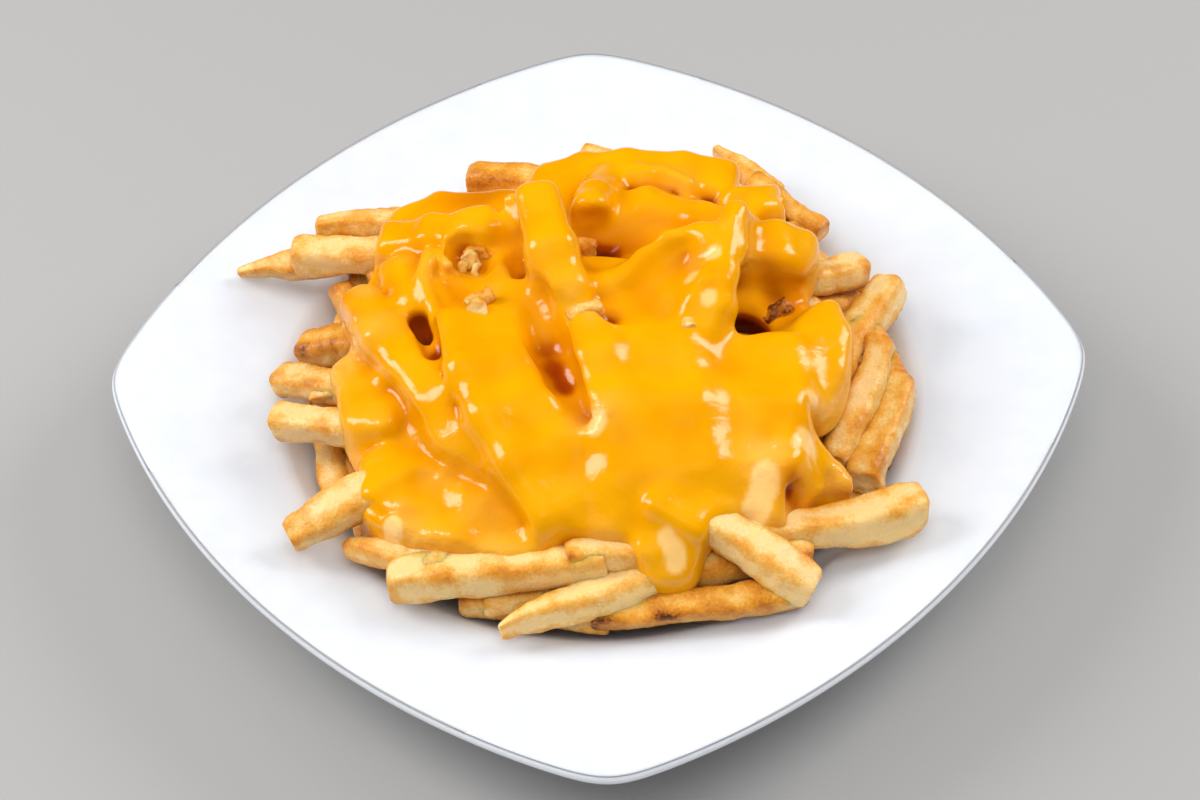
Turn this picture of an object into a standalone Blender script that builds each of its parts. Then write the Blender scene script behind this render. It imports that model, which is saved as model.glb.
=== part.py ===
# Cheese fries in the round well of a square white plate with bowed sides.
# Millimetres are used throughout and turned to metres where a mesh is made.
# The origin is under the middle of the plate, on the surface that its foot stands on.

import math
import random

import bmesh
import bpy
from mathutils import Vector

MM = 0.001

# Plate
HALF_DIAGONAL = 140.0       # centre to the point where two bowed sides would meet
SIDE_BOW = 23.3             # how far a side bulges past the straight line between corners
CORNER_SOFTNESS = 2.5
RIM_HEIGHT = 38.0
WELL_RADIUS = 90.0
WELL_LIP_HEIGHT = 29.0
WELL_FLOOR_HEIGHT = 9.0
PLATE_THICKNESS = 4.2
FOOT_RADIUS = 56.0
FOOT_WIDTH = 5.0
PLATE_BEARINGS = 64
CORNER_CROWDING = 0.55      # how much closer the bearings lie near the four corners

# Heap of fries
MOUND_FOOT = 36.0           # height where the heap's outline would meet the rim
MOUND_RISE = 36.0
MOUND_RADIUS = 92.0
MOUND_FULLNESS = 0.9
CORE_DEPTH = 7.2            # the bare core lies this far under the heap's skin where sauce covers it
SHOULDER_DEPTH = 3.2        # and this far where it doesn't
CORE_REACH = 84.0
CORE_BEARINGS = 60
FRY_CORNER = 0.42           # bevel of a fry's square section, as a share of half its width
FRY_STATIONS = (0.0, 0.12, 0.5, 0.88, 1.0)
FRY_END_SHARE = 0.72        # width of a fry's end face, as a share of its middle
FRY_BOW = 0.035             # sag of a fry's middle, as a share of its length
HIDDEN_LENGTH = 14.0        # how much farther each fry runs into the heap
SHORTEST_FRY = 10
FRY_SAMPLES = 8             # steps between two rings of a fry where its clearance is tried
SAUCE_CLEARANCE = 0.9       # from a fry to the sauce's outline or underside
FRY_SHIFTS = (              # how far a fry may be lowered and moved outwards to clear its neighbours
    (0, 0), (-1, 0), (1, 1), (-2, 0), (2, 2), (-3, 0), (3, 3), (-4, 0), (4, 4), (-6, 0),
)
FILLER_FRIES = 24
SEED = 11

# Sauce
SAUCE_DEPTH = 6.0           # skin of the heap to the underside of the sauce
SAUCE_EDGE = 2.2            # thickness right at the outline
SAUCE_EDGE_RUN = 5.0        # how far in from the outline it reaches full thickness
SAUCE_BASE_REACH = 71.0
SAUCE_CELLS = 40            # squares across the sauce's top
UNDERSIDE_SHARES = (1.0, 0.93, 0.84, 0.7, 0.5, 0.28)
RIDGE_SLUMP = 1.15          # above 1, the sauce slumps wider over the fries that it coats
GAP = 0.8                   # clearance between faceted neighbours

# Where the sauce runs out past its base reach, or falls short of it:
# bearing in degrees, added reach, half width in degrees.
SAUCE_LOBES = (
    (8, -10, 8), (24, -4, 6), (34, -10, 6), (60, 9, 17), (102, -6, 9), (118, -15, 10),
    (144, 3, 10), (162, -5, 7), (186, -4, 5), (208, 4, 10), (230, 8, 14), (250, 3, 9),
    (282, 13, 7), (303, 7, 5), (318, 9, 7),
)

# Fries that lie under the sauce and raise it into ridges: both ends of each and its coated radius.
RIDGES = (
    ((-64, -3, 57), (-30, -52, 56), 8.0),       # long fry down the left flank
    ((-36, -14, 64), (-6, -70, 48), 8.5),       # broad pair in front, left one
    ((-25, -8, 67), (4, -62, 51), 7.5),         # broad pair in front, right one
    ((-7, -27, 68), (62, -15, 55), 8.0),        # flat sheet, back fry
    ((-4, -41, 63), (63, -31, 53), 8.0),        # flat sheet, middle fry
    ((2, -55, 57), (56, -48, 50), 8.0),         # flat sheet, front fry
    ((-14, 16, 76), (-4, -22, 66), 7.0),        # fry that leans up at the top
    ((38, 17, 74), (27, -22, 66), 6.5),         # thin fry that leans up at the right
    ((-2, -8, 69), (36, 11, 72), 6.0),          # arch between the two
    ((-14, 50, 60), (42, 50, 57), 8.0),         # fry across the back
    ((-2, 50, 63), (-1, 25, 68), 7.5),          # fry end that looks forward
    ((30, 45, 57), (58, 52, 50), 6.5),          # fry end at the back right
    ((-61, 29, 53), (-26, 15, 66), 7.0),        # fry across the back left
    ((40, 10, 66), (61, 20, 56), 8.5),          # block at the right
    ((66, 0, 51), (60, -33, 48), 7.5),          # lobe down the right flank
    ((-68, -22, 46), (-60, -52, 42), 7.0),      # left shoulder
    ((-56, -62, 38), (-18, -74, 44), 6.5),      # front left apron
    ((17.5, -70, 46), (17.5, -81, 38), 6.5),    # drip at the front
)

# Fries that show: middle of the shown end, heading, climb and shown length, then thickness.
# Heading and climb point from the shown end into the heap, in degrees.
SHOWN_FRIES = (
    ((-106, 41, 36.5), 1, 9, 28, 8.0),
    ((-88, 38, 45), -4, 8, 27, 10.5),
    ((-83, 53, 43), -4, 2, 23, 7.5),
    ((-66, 57, 41), -12, 8, 15, 7.5),
    ((-76, 33, 38), -62, -27, 15, 7.5),
    ((-85, 11, 34), -20, 24, 20, 9.5),
    ((-90, -3, 37), -30, 18, 25, 10.5),
    ((-80, -14, 41), -15, 28, 15, 5.5),
    ((-89, -23, 42), -17, 13, 22, 10.5),
    ((-79, -24, 33), -65, -45, 14, 8.5),
    ((-83, -62, 39), 26, 11, 26, 11.0),
    ((-68, -63, 36), -24, 12, 20, 9.0),
    ((-56, -77, 38), 1, 5, 44, 10.5),
    ((-38, -78.5, 30.5), -11, 0, 27, 8.5),
    ((-27, -92, 36), 19, 2, 32, 10.0),
    ((-6, -83.5, 30), 5, 3, 44, 9.5),
    ((9, -78, 35), 10, 4, 29, 9.0),
    ((-10, -76.5, 46), 9, -8, 17, 9.0),
    ((54, -83, 38), 154, 17, 32, 11.0),
    ((54, -72, 38), 174, 15, 13, 8.0),
    ((85, -58, 41), -167, 3, 37, 11.5),
    ((63, -40, 38), 66, 12, 28, 9.5),
    ((71, -46, 35), 68, 4, 24, 11.5),
    ((85, -12, 37), 125, 24, 10, 8.5),
    ((85, 20, 45), -120, -2, 28, 10.5),
    ((77, 27, 45), -152, 18, 23, 11.0),
    ((68, 46, 42), 135, 4, 16, 7.5),
    ((38, 86, 40), -52, 4, 16, 7.0),
    ((-3, 87, 39.5), -32, 3, 15, 8.0),
    ((-38, 72, 42), -9, 3, 19, 12.5),
    ((76, 21, 37), -150, 22, 16, 8.0),
)


# Plate

def outline_reach(bearing):
    """Centre to the plate's edge: the nearest of four arcs, softened where two meet."""
    chord = HALF_DIAGONAL * math.sqrt(2)
    arc_radius = (chord * chord / 4 + SIDE_BOW ** 2) / (2 * SIDE_BOW)
    centre = HALF_DIAGONAL / 2 - (arc_radius - SIDE_BOW) / math.sqrt(2)
    total = 0.0
    for quadrant in range(4):
        turn = bearing - quadrant * math.pi / 2
        along = centre * (math.cos(turn) + math.sin(turn))
        reach = along + math.sqrt(arc_radius ** 2 - 2 * centre ** 2 + along ** 2)
        total += math.exp((HALF_DIAGONAL - reach) / CORNER_SOFTNESS)
    return HALF_DIAGONAL - CORNER_SOFTNESS * math.log(total)


def plate_bearings():
    """Bearings round the plate, crowded towards its corners."""
    turns = [2 * math.pi * k / PLATE_BEARINGS for k in range(PLATE_BEARINGS)]
    return [turn - CORNER_CROWDING * math.sin(4 * turn) / 4 for turn in turns]


WELL_PROFILE = (
    (0.0, WELL_FLOOR_HEIGHT),
    (58.0, WELL_FLOOR_HEIGHT),
    (72.0, WELL_FLOOR_HEIGHT + 1.4),
    (81.0, WELL_FLOOR_HEIGHT + 7.0),
    (87.0, WELL_LIP_HEIGHT - 4.5),
    (WELL_RADIUS, WELL_LIP_HEIGHT - 1.0),
    (WELL_RADIUS + 3.0, WELL_LIP_HEIGHT),
)


def rim_height(share):
    """Height of the rim's top, with share 0 at the well's lip and 1 at the plate's edge."""
    return WELL_LIP_HEIGHT + (RIM_HEIGHT - WELL_LIP_HEIGHT) * share ** 1.1


def plate_top(x, y):
    """Height of the plate's upper surface at a place."""
    r = math.hypot(x, y)
    inner = WELL_PROFILE[-1][0]
    if r >= inner:
        reach = outline_reach(math.atan2(y, x))
        return rim_height(min(1.0, (r - inner) / (reach - inner)))
    for (r0, z0), (r1, z1) in zip(WELL_PROFILE, WELL_PROFILE[1:]):
        if r <= r1:
            return z0 + (z1 - z0) * (r - r0) / (r1 - r0)
    return WELL_LIP_HEIGHT


def plate_stations(reach):
    """Profile of the plate at one bearing, from the middle of its top round to the middle of its base."""
    inner = WELL_PROFILE[-1][0]
    drop = PLATE_THICKNESS
    top = list(WELL_PROFILE[1:])
    top += [(inner + (reach - inner) * share, rim_height(share)) for share in (0.45, 0.93)]
    edge = [(reach, RIM_HEIGHT - 0.9), (reach, RIM_HEIGHT - 2.4), (reach - 1.6, RIM_HEIGHT - 3.6)]
    under = [
        (inner + 0.45 * (reach - inner), rim_height(0.45) - drop),
        (inner + 1.0, WELL_LIP_HEIGHT - drop - 0.6),
        (87.0, WELL_FLOOR_HEIGHT + 5.0),
        (76.0, WELL_FLOOR_HEIGHT - 3.6),
        (FOOT_RADIUS + 2.0, WELL_FLOOR_HEIGHT - drop),
        (FOOT_RADIUS, 0.0),
        (FOOT_RADIUS - FOOT_WIDTH, 0.0),
        (FOOT_RADIUS - FOOT_WIDTH - 2.0, WELL_FLOOR_HEIGHT - drop),
    ]
    return top + edge + under


# Heap and sauce surfaces

def mound(x, y):
    """Skin of the heap: a dome that falls away to the rim."""
    share = 1 - (math.hypot(x, y) / MOUND_RADIUS) ** 2
    return MOUND_FOOT + MOUND_RISE * max(0.0, share) ** MOUND_FULLNESS


def sauce_reach(bearing):
    """Centre to the sauce's outline: a circle with bumps and bays."""
    degrees = math.degrees(bearing) % 360
    reach = SAUCE_BASE_REACH
    for place, extra, width in SAUCE_LOBES:
        off = (degrees - place + 180) % 360 - 180
        reach += extra * math.exp(-abs(off / width) ** 3)
    return reach


def sauce_under(x, y):
    return mound(x, y) - SAUCE_DEPTH


def ridge_height(x, y):
    """Highest coated fry over a place: a parabola across each ridge's line."""
    best = 0.0
    for start, end, radius in RIDGES:
        a, b = Vector(start), Vector(end)
        run = (b - a).xy
        share = min(1.0, max(0.0, (Vector((x, y)) - a.xy).dot(run) / run.length_squared))
        axis = a.lerp(b, share)
        off = (Vector((x, y)) - axis.xy).length
        best = max(best, axis.z + radius - off ** 2 / (radius * RIDGE_SLUMP))
    return best


def sauce_top(x, y):
    """Upper surface of the sauce: the heap's skin, raised over the coated fries, thin at its outline."""
    body = max(mound(x, y), ridge_height(x, y))
    inside = sauce_reach(math.atan2(y, x)) - math.hypot(x, y)
    fade = min(1.0, max(0.0, inside / SAUCE_EDGE_RUN))
    edge = sauce_under(x, y) + SAUCE_EDGE
    return edge + (body - edge) * math.sqrt(fade)


# Meshes

def skin_rings(bm, rings):
    """Joins rings of equal count one to the next, and fills the first and the last."""
    loops = [[bm.verts.new(Vector(point) * MM) for point in ring] for ring in rings]
    count = len(loops[0])
    for one, two in zip(loops, loops[1:]):
        for k in range(count):
            after = (k + 1) % count
            bm.faces.new((one[k], two[k], two[after], one[after]))
    for loop, hub in ((loops[0], rings[0]), (loops[-1], rings[-1])):
        middle = Vector([sum(point[i] for point in hub) / count for i in range(3)])
        centre = bm.verts.new(middle * MM)
        for k in range(count):
            bm.faces.new((loop[k], loop[(k + 1) % count], centre))


def finish_mesh(name, bm, material):
    """Makes the object, with every face pointing out."""
    bmesh.ops.recalc_face_normals(bm, faces=bm.faces)
    mesh = bpy.data.meshes.new(name)
    bm.to_mesh(mesh)
    bm.free()
    mesh.materials.append(material)
    mesh.shade_smooth()
    mesh.set_sharp_from_angle(angle=math.radians(40))
    return bpy.data.objects.new(name, mesh)


def make_material(name, colour, roughness):
    material = bpy.data.materials.new(name)
    material.use_nodes = True
    shader = material.node_tree.nodes["Principled BSDF"]
    shader.inputs["Base Color"].default_value = (*colour, 1.0)
    shader.inputs["Roughness"].default_value = roughness
    shader.inputs["Metallic"].default_value = 0.0
    return material


def polar(bearing, r, z):
    return (r * math.cos(bearing), r * math.sin(bearing), z)


def build_plate(material):
    bearings = plate_bearings()
    profiles = [plate_stations(outline_reach(bearing)) for bearing in bearings]
    rings = [
        [polar(bearing, *profile[k]) for bearing, profile in zip(bearings, profiles)]
        for k in range(len(profiles[0]))
    ]
    bm = bmesh.new()
    skin_rings(bm, rings)
    return finish_mesh("plate", bm, material)


def core_stations(bearing):
    """Profile of the bare core at one bearing, from under its middle up its side and over the dome."""
    floor = WELL_FLOOR_HEIGHT + GAP
    side = [
        (20.0, floor),
        (56.0, floor),
        (69.0, floor + 1.7),
        (76.0, floor + 5.0),
        (82.0, WELL_LIP_HEIGHT - 7.5),
        (CORE_REACH, WELL_LIP_HEIGHT - 1.0),
    ]
    near = [bearing + math.pi / CORE_BEARINGS * k for k in (-2, -1, 0, 1, 2)]
    sauce_edge = max(sauce_reach(turn) for turn in near)
    step = sauce_edge + 3 * GAP
    open_depth = SHOULDER_DEPTH if step < CORE_REACH else CORE_DEPTH
    dome = [(CORE_REACH, open_depth), (min(step, CORE_REACH - 0.5), open_depth)]
    dome += [(min(sauce_edge + GAP, CORE_REACH - 1.0), CORE_DEPTH)]
    dome += [(sauce_edge * share, CORE_DEPTH) for share in (0.92, 0.82, 0.68, 0.5, 0.3, 0.15)]
    x, y = math.cos(bearing), math.sin(bearing)
    return side + [(r, mound(r * x, r * y) - depth) for r, depth in dome]


def build_core(material):
    bearings = [2 * math.pi * k / CORE_BEARINGS for k in range(CORE_BEARINGS)]
    profiles = [core_stations(bearing) for bearing in bearings]
    rings = [
        [polar(bearing, *profile[k]) for bearing, profile in zip(bearings, profiles)]
        for k in range(len(profiles[0]))
    ]
    bm = bmesh.new()
    skin_rings(bm, rings)
    return finish_mesh("fries", bm, material)


def fry_rings(start, heading, climb, length, thick, bow):
    """Rings of a fry: a bevelled square carried along a line whose middle sags or bows up."""
    turn, rise = math.radians(heading), math.radians(climb)
    along = Vector((math.cos(turn) * math.cos(rise), math.sin(turn) * math.cos(rise), math.sin(rise)))
    side = Vector((-math.sin(turn), math.cos(turn), 0.0))
    up = along.cross(side)
    half = thick / 2
    cut = half * (1 - FRY_CORNER)
    corners = [(half, cut), (cut, half), (-cut, half), (-half, cut)]
    corners += [(-u, -v) for u, v in corners]
    rings = []
    for share in FRY_STATIONS:
        width = 1.0 if 0.0 < share < 1.0 else FRY_END_SHARE
        middle = Vector(start) + along * length * share
        middle += up * bow * length * 4 * share * (1 - share)
        rings.append([middle + side * u * width + up * v * width for u, v in corners])
    return rings


def in_sauce(point):
    """Whether a point lies in or over the sauce, or nearer to it than its clearance."""
    x, y, z = point
    if math.hypot(x, y) > sauce_reach(math.atan2(y, x)) + SAUCE_CLEARANCE:
        return False
    return z > sauce_under(x, y) - SAUCE_CLEARANCE


def surface_points(rings):
    """Points over a fry's skin: the corners of its rings and steps between them, both along and across."""
    steps = [k / FRY_SAMPLES for k in range(FRY_SAMPLES)]
    dense = []
    for ring in rings:
        after = ring[1:] + ring[:1]
        dense.append([a.lerp(b, share) for a, b in zip(ring, after) for share in (0.0, 0.25, 0.5, 0.75)])
    points = dense[-1] + [sum(ring, Vector()) / len(ring) for ring in rings]
    for one, two in zip(dense, dense[1:]):
        points += [a.lerp(b, share) for a, b in zip(one, two) for share in steps]
    return points


def fitted_fry(start, heading, climb, length, thick, bow):
    """A fry moved or shortened until it is clear of the sauce and the plate, or None where it can't be."""
    outward = Vector((start[0], start[1], 0.0)).normalized()
    for length_left in range(round(length), SHORTEST_FRY, -2):
        for lowered, moved in FRY_SHIFTS:
            place = Vector(start) + outward * moved - Vector((0, 0, lowered))
            rings = fry_rings(place, heading, climb, length_left, thick, bow)
            points = surface_points(rings)
            if any(point.z - plate_top(point.x, point.y) < GAP for point in points):
                continue
            if not any(in_sauce(point) for point in points):
                return rings
    return None


def filler_fries(draw):
    """Low fries that lie round the well under the shown ones, each nearly along the wall."""
    for k in range(FILLER_FRIES):
        bearing = 360 * (k + draw.uniform(-0.3, 0.3)) / FILLER_FRIES
        r = draw.uniform(78, 82)
        height = draw.choice((29, 33, 38)) + draw.uniform(-1, 1)
        start = polar(math.radians(bearing), r, height)
        heading = bearing + draw.choice((-1, 1)) * draw.uniform(100, 135)
        yield start, heading, draw.uniform(-4, 8), draw.uniform(28, 40), draw.uniform(8.5, 10.5)


def build_bars(material):
    draw = random.Random(SEED)
    wanted = [
        (start, heading, climb, length + HIDDEN_LENGTH, thick)
        for start, heading, climb, length, thick in SHOWN_FRIES
    ]
    wanted += filler_fries(draw)
    bars = []
    for fry in wanted:
        rings = fitted_fry(*fry, bow=draw.uniform(-FRY_BOW, FRY_BOW))
        if rings is None:
            continue
        bm = bmesh.new()
        skin_rings(bm, rings)
        bars.append(finish_mesh(f"bar.{len(bars):02d}", bm, material))
    return bars


def keep_main_shell(mesh):
    """Drops loose scraps and the walls of sealed hollows, which leaves the hollows filled."""
    bm = bmesh.new()
    bm.from_mesh(mesh)
    left, shells = set(bm.verts), []
    while left:
        front = [left.pop()]
        shell = set(front)
        while front:
            vert = front.pop()
            near = [edge.other_vert(vert) for edge in vert.link_edges]
            fresh = [other for other in near if other in left]
            left.difference_update(fresh)
            shell.update(fresh)
            front += fresh
        shells.append(shell)
    main = max(shells, key=len)
    bmesh.ops.delete(bm, geom=[v for v in bm.verts if v not in main], context="VERTS")
    bm.to_mesh(mesh)
    bm.free()


def build_fries(material):
    """The core with every bar fused on by one Boolean union."""
    scene = bpy.context.scene
    core = build_core(material)
    scene.collection.objects.link(core)
    bars = bpy.data.collections.new("bars")
    scene.collection.children.link(bars)
    for bar in build_bars(material):
        bars.objects.link(bar)
    union = core.modifiers.new("union", "BOOLEAN")
    union.operation = "UNION"
    union.operand_type = "COLLECTION"
    union.collection = bars
    union.solver = "EXACT"
    bpy.context.view_layer.objects.active = core
    bpy.ops.object.modifier_apply(modifier=union.name)
    for bar in list(bars.objects):
        bpy.data.objects.remove(bar)
    bpy.data.collections.remove(bars)
    keep_main_shell(core.data)
    return core


def disc_place(u, v):
    """Bearing and share of the reach for a place on a square that runs from -1 to 1 each way."""
    if abs(u) >= abs(v):
        turn = 0.0 if u == 0 else math.pi / 4 * v / u
        return turn + (math.pi if u < 0 else 0.0), abs(u)
    turn = math.pi / 2 - math.pi / 4 * u / v
    return turn + (math.pi if v < 0 else 0.0), abs(v)


def build_sauce(material):
    """One closed blanket: a square net stretched to the outline on top, and rings below it."""
    bm = bmesh.new()
    last = SAUCE_CELLS
    net = []
    for i in range(last + 1):
        row = []
        for j in range(last + 1):
            bearing, share = disc_place(2 * i / last - 1, 2 * j / last - 1)
            x, y, _ = polar(bearing, sauce_reach(bearing) * share, 0.0)
            row.append(bm.verts.new(Vector((x, y, sauce_top(x, y))) * MM))
        net.append(row)
    for i in range(last):
        for j in range(last):
            bm.faces.new((net[i][j], net[i + 1][j], net[i + 1][j + 1], net[i][j + 1]))
    loop = [net[k][0] for k in range(last)] + [net[last][k] for k in range(last)]
    loop += [net[last - k][last] for k in range(last)] + [net[0][last - k] for k in range(last)]
    count = len(loop)
    outline = [vert.co.copy() / MM for vert in loop]
    for share in UNDERSIDE_SHARES:
        below = []
        for point in outline:
            x, y = point.x * share, point.y * share
            below.append(bm.verts.new(Vector((x, y, sauce_under(x, y))) * MM))
        for k in range(count):
            after = (k + 1) % count
            bm.faces.new((loop[k], below[k], below[after], loop[after]))
        loop = below
    centre = bm.verts.new(Vector((0, 0, sauce_under(0, 0))) * MM)
    for k in range(count):
        bm.faces.new((loop[k], loop[(k + 1) % count], centre))
    return finish_mesh("cheese_sauce", bm, material)


def main():
    for obj in list(bpy.data.objects):
        bpy.data.objects.remove(obj)
    white = make_material("white_glaze", (0.86, 0.87, 0.88), 0.25)
    golden = make_material("fried_potato", (0.72, 0.42, 0.13), 0.55)
    cheese = make_material("cheese_sauce", (0.95, 0.45, 0.01), 0.25)
    scene = bpy.context.scene
    scene.collection.objects.link(build_plate(white))
    scene.collection.objects.link(build_sauce(cheese))
    build_fries(golden)


main()
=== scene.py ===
# Cheese fries on a square plate with bowed sides: glazed plate, fried potato sticks and cheese sauce.
# Lengths are in millimetres until a mesh is made. +X is right and +Y away in the picture.

import math

import bpy
import numpy as np
from mathutils import Matrix, Vector


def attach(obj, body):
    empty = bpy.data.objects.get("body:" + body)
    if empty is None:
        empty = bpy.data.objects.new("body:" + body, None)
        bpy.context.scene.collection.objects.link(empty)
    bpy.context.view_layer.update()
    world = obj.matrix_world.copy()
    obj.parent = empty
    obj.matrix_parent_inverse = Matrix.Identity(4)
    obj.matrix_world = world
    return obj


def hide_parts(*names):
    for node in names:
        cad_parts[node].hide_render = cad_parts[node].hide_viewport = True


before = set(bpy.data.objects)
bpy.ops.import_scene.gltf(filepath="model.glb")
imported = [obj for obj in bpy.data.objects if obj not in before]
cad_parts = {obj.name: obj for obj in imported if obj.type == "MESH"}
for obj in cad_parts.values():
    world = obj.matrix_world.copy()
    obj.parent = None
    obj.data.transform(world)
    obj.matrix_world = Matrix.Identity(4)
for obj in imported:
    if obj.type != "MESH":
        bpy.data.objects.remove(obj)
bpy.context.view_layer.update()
mm = 0.001


# Small tools

# sRGB hex to linear: c / 12.92 up to 0.04045, and ((c + 0.055) / 1.055) to the power 2.4 above.
def hexLinear(code):
    channels = np.array([int(code[k:k + 2], 16) for k in (1, 3, 5)]) / 255
    linear = np.where(channels > 0.04045, ((channels + 0.055) / 1.055) ** 2.4, channels / 12.92)
    return (*linear.tolist(), 1.0)


# Smooth step: 3 t squared minus 2 t cubed, with t running from 0 at low to 1 at high.
def ease(low, high, value):
    t = np.clip((value - low) / (high - low), 0, 1)
    return t * t * (3 - 2 * t)


# Value noise from -1 to 1: random numbers on a lattice of that size, eased from corner to corner.
def lumps(points, size, seed):
    lattice = np.random.default_rng(seed).uniform(-1, 1, (32, 32, 32))
    place = np.asarray(points, dtype=np.float64) / size
    cell = np.floor(place).astype(np.int64)
    share = ease(0, 1, place - cell)
    total = np.zeros(place.shape[:-1])
    for corner in np.ndindex(2, 2, 2):
        index = (cell + corner) % 32
        weight = np.prod(np.where(corner, share, 1 - share), axis=-1)
        total += lattice[index[..., 0], index[..., 1], index[..., 2]] * weight
    return total


# Puts points in millimetres and faces into a new smooth mesh object at the origin.
def makeMesh(name, points, quads, tris=None):
    tris = np.zeros((0, 3), int) if tris is None else tris
    corners = np.concatenate([quads.ravel(), tris.ravel()])
    counts = np.concatenate([np.full(len(quads), 4), np.full(len(tris), 3)])
    mesh = bpy.data.meshes.new(name)
    mesh.vertices.add(len(points))
    mesh.vertices.foreach_set("co", (np.asarray(points) * mm).astype(np.float32).ravel())
    mesh.loops.add(len(corners))
    mesh.loops.foreach_set("vertex_index", corners.astype(np.int32))
    mesh.polygons.add(len(counts))
    mesh.polygons.foreach_set("loop_start", (np.cumsum(counts) - counts).astype(np.int32))
    mesh.update(calc_edges=True)
    mesh.validate()
    mesh.shade_smooth()
    obj = bpy.data.objects.new(name, mesh)
    bpy.context.scene.collection.objects.link(obj)
    return obj


# Stores one number for each vertex, which a material reads by name.
def addTrait(obj, name, values):
    trait = obj.data.attributes.new(name, "FLOAT", "POINT")
    trait.data.foreach_set("value", np.asarray(values).astype(np.float32).ravel())


# Faces of a closed tube: quads between rings, and fans to a point before the first and after the last.
def tubeFaces(rings, count):
    k = np.arange(count)
    after = (k + 1) % count
    rows = np.arange(rings - 1)[:, None] * count
    quads = np.stack([rows + k, rows + after, rows + count + after, rows + count + k], axis=-1)
    first, last = rings * count, rings * count + 1
    end = (rings - 1) * count
    fans = [np.stack([np.full(count, first), after, k], axis=-1),
            np.stack([np.full(count, last), end + k, end + after], axis=-1)]
    return quads.reshape(-1, 4), np.concatenate(fans)


# Closed mesh of rings of points, with a pole at either end.
def makeRings(name, skin, poles):
    quads, tris = tubeFaces(*skin.shape[:2])
    return makeMesh(name, np.concatenate([skin.reshape(-1, 3), poles]), quads[:, ::-1], tris[:, ::-1])


# Cubic Hermite curve through given stations, with slopes that never overshoot.
def smoothLine(stations, values, places):
    stations, values = np.array(stations, float), np.array(values, float)
    step = np.diff(stations)
    rise = np.diff(values) / step
    slope = np.zeros(len(values))
    both = rise[:-1] * rise[1:] > 0
    slope[1:-1] = np.where(both, 2 * rise[:-1] * rise[1:] / np.where(both, rise[:-1] + rise[1:], 1), 0)
    slope[0], slope[-1] = rise[0], rise[-1]
    k = np.clip(np.searchsorted(stations, places, side="right") - 1, 0, len(step) - 1)
    t = (places - stations[k]) / step[k]
    keep = (1 + 2 * t) * (1 - t) ** 2 * values[k] + t * t * (3 - 2 * t) * values[k + 1]
    return keep + (t * (1 - t) ** 2 * slope[k] - t * t * (1 - t) * slope[k + 1]) * step[k]


# Materials

def newMaterial(name):
    material = bpy.data.materials.new(name)
    material.use_nodes = True
    return material, material.node_tree, material.node_tree.nodes["Principled BSDF"]


# Sets a node's properties and sockets, and links other nodes' outputs to its inputs.
def setNode(tree, node, settings, links):
    for key, value in settings.items():
        if isinstance(key, int) or key in node.inputs:
            node.inputs[key].default_value = value
        else:
            setattr(node, key, value)
    for key, source in links.items():
        tree.links.new(source, node.inputs[key])
    return node


def addNode(tree, kind, settings=None, links=None):
    return setNode(tree, tree.nodes.new(kind), settings or {}, links or {})


# Place on the object, for the patterns.
def addPlace(tree):
    return addNode(tree, "ShaderNodeTexCoord").outputs["Object"]


# One of the mesh's own traits.
def readTrait(tree, name):
    return addNode(tree, "ShaderNodeAttribute", {"attribute_name": name}).outputs["Fac"]


# Noise with so many millimetres from one swell to the next.
def addNoise(tree, place, size, detail, roughness=0.5):
    settings = {"Scale": 1 / (size * mm), "Detail": detail, "Roughness": roughness}
    return addNode(tree, "ShaderNodeTexNoise", settings, {"Vector": place}).outputs[0]


# Bump so many millimetres high, from a height and over an earlier bump.
def addBump(tree, distance, strength, links):
    settings = {"Distance": distance * mm, "Strength": strength}
    return addNode(tree, "ShaderNodeBump", settings, links).outputs[0]


# A value carried from one range to another and held there.
def addRange(tree, source, *ends):
    settings = dict(zip(("From Min", "From Max", "To Min", "To Max"), ends))
    return addNode(tree, "ShaderNodeMapRange", settings, {"Value": source}).outputs[0]


def addMath(tree, operation, numbers, links):
    return addNode(tree, "ShaderNodeMath", {"operation": operation, **numbers}, links).outputs[0]


# Colour ramp through some of a look's colours, given as stops of place and name.
def addRamp(tree, source, look, stops):
    node = addNode(tree, "ShaderNodeValToRGB", links={0: source})
    ramp = node.color_ramp
    while len(ramp.elements) < len(stops):
        ramp.elements.new(0.5)
    for element, (place, name) in zip(ramp.elements, stops):
        element.position = place
        element.color = hexLinear(look[name])
    return node.outputs[0]


glazeLook = {
    "white": "#DCDFE4",
    "shade": "#D8DCE2",
    "roughness": 0.16,
    "specular": 0.12,
    "ripple": 9.0,  # millimetres from one faint swell of the glaze to the next
    "milkiness": 0.6,  # share of the light that goes through the body under it
    "milkDepth": 9.0,
}


# Glazed porcelain, fired white: a hard mirror-like skin over a milky body, very faintly rippled.
def glazedCeramic():
    material, tree, shader = newMaterial("glazed porcelain")
    ripple = addNoise(tree, addPlace(tree), glazeLook["ripple"], 1.0)
    tint = addRamp(tree, ripple, glazeLook, ((0.3, "shade"), (0.7, "white")))
    bump = addBump(tree, 0.3, 0.04, {"Height": ripple})
    setNode(tree, shader, {"Roughness": glazeLook["roughness"], "IOR": 1.5,
                           "Specular IOR Level": glazeLook["specular"],
                           "Subsurface Weight": glazeLook["milkiness"],
                           "Subsurface Radius": (1.0, 0.92, 0.88),
                           "Subsurface Scale": glazeLook["milkDepth"] * mm},
            {"Base Color": tint, "Normal": bump})
    return material


crustLook = {
    "blotch": 7.0,  # millimetres across a browner patch
    "crumb": 0.9,  # millimetres across a blister of the crust
    "pale": "#F1CB86",
    "straw": "#E9B45A",
    "gold": "#DF982E",
    "brown": "#BA6E18",
    "dark": "#5E2C08",
    "mealDepth": 2.2,  # how far light goes through the mealy inside
}


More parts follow.
